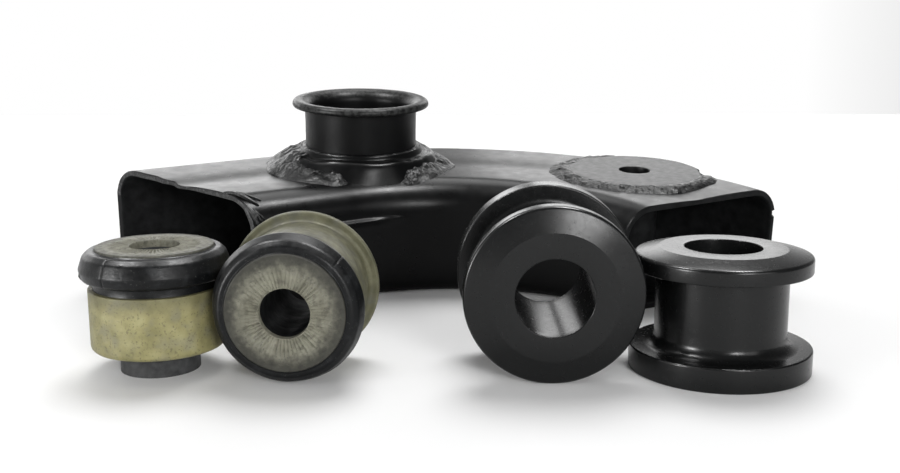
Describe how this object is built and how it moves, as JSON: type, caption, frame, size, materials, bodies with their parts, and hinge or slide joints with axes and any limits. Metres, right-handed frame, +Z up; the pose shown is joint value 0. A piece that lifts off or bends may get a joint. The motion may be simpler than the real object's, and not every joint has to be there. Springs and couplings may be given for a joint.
{
  "type": "suspension control arm",
  "caption": "Bent box-section control arm with a rolled bush collar and a drilled boss, with its rubber and solid pivot bushes laid out beside it.",
  "frame": {"origin": "on the floor, in the middle of the arm and its laid-out bushes", "axes": "+Z up; +Y towards the outside of the bend, away from the bushes; +X to the right, towards the drilled boss"},
  "size_m": [0.2889, 0.2207, 0.0847],
  "materials": {
    "arm_paint": "satin black paint with soft broad highlights",
    "weld_paint": "lumpy weld metal under the same black paint, duller",
    "boss_paint": "dull grey-black paint on a flat-cut plate",
    "bare_steel": "dull dark steel",
    "zinc_sleeve": "olive-yellow passivated zinc, speckled and dusty",
    "rubber": "blue-black moulded rubber, dusty and lightly scuffed",
    "end_washer": "grey-olive metal with fine radial serrations round the bore",
    "black_bush": "black machined acetal, satin, with faint tool marks and scuffs"
  },
  "bodies": {
    "arm": {"arm_tube": "arm_paint", "bush_collar": "arm_paint", "collar_saddle": "arm_paint", "collar_bead": "weld_paint", "collar_weld": "weld_paint", "boss_plate": "boss_paint", "boss_weld": "weld_paint", "boss_sleeve": "bare_steel", "sleeve_weld": "weld_paint"},
    "upright_core": {"upright_inner_sleeve": "bare_steel", "upright_end_washer": "end_washer"},
    "upright_shell": {"upright_outer_sleeve": "zinc_sleeve", "upright_rubber": "rubber"},
    "flanged_shell": {"flanged_outer_sleeve": "zinc_sleeve", "flanged_rubber": "rubber"},
    "flanged_core": {"flanged_inner_sleeve": "bare_steel", "flanged_end_washer": "end_washer"},
    "lying_barrel": {"lying_bush_barrel": "black_bush"},
    "lying_cap": {"lying_bush_cap": "black_bush"},
    "standing_barrel": {"standing_bush_barrel": "black_bush"},
    "standing_cap": {"standing_bush_cap": "black_bush"}
  },
  "joints": [
    {"name": "upright_bush_lift", "type": "slide", "parent": "arm", "child": "upright_core", "axis": [0, 0, 1], "range_m": [0, 0.1]},
    {"name": "upright_bush_twist", "type": "hinge", "parent": "upright_core", "child": "upright_shell", "pos_m": [-0.0945, -0.08, 0.02], "axis": [0, 0, 1], "range_deg": [-20, 20], "stiffness_Nm_per_rad": 4},
    {"name": "flanged_bush_lift", "type": "slide", "parent": "arm", "child": "flanged_shell", "axis": [0, 0, 1], "range_m": [0, 0.1]},
    {"name": "flanged_bush_twist", "type": "hinge", "parent": "flanged_shell", "child": "flanged_core", "pos_m": [-0.04703, -0.08181, 0.02543], "axis": [-0.0523, -0.998, -0.0352], "range_deg": [-20, 20], "stiffness_Nm_per_rad": 4},
    {"name": "lying_bush_lift", "type": "slide", "parent": "arm", "child": "lying_barrel", "axis": [0, 0, 1], "range_m": [0, 0.1]},
    {"name": "lying_cap_slide", "type": "slide", "parent": "lying_barrel", "child": "lying_cap", "axis": [0.0157, -0.9993, -0.0351], "range_m": [0, 0.03]},
    {"name": "standing_bush_lift", "type": "slide", "parent": "arm", "child": "standing_barrel", "axis": [0.1483, 0, 0.9889], "range_m": [0, 0.1]},
    {"name": "standing_cap_slide", "type": "slide", "parent": "standing_barrel", "child": "standing_cap", "axis": [0, 0, 1], "range_m": [0, 0.03]}
  ]
}
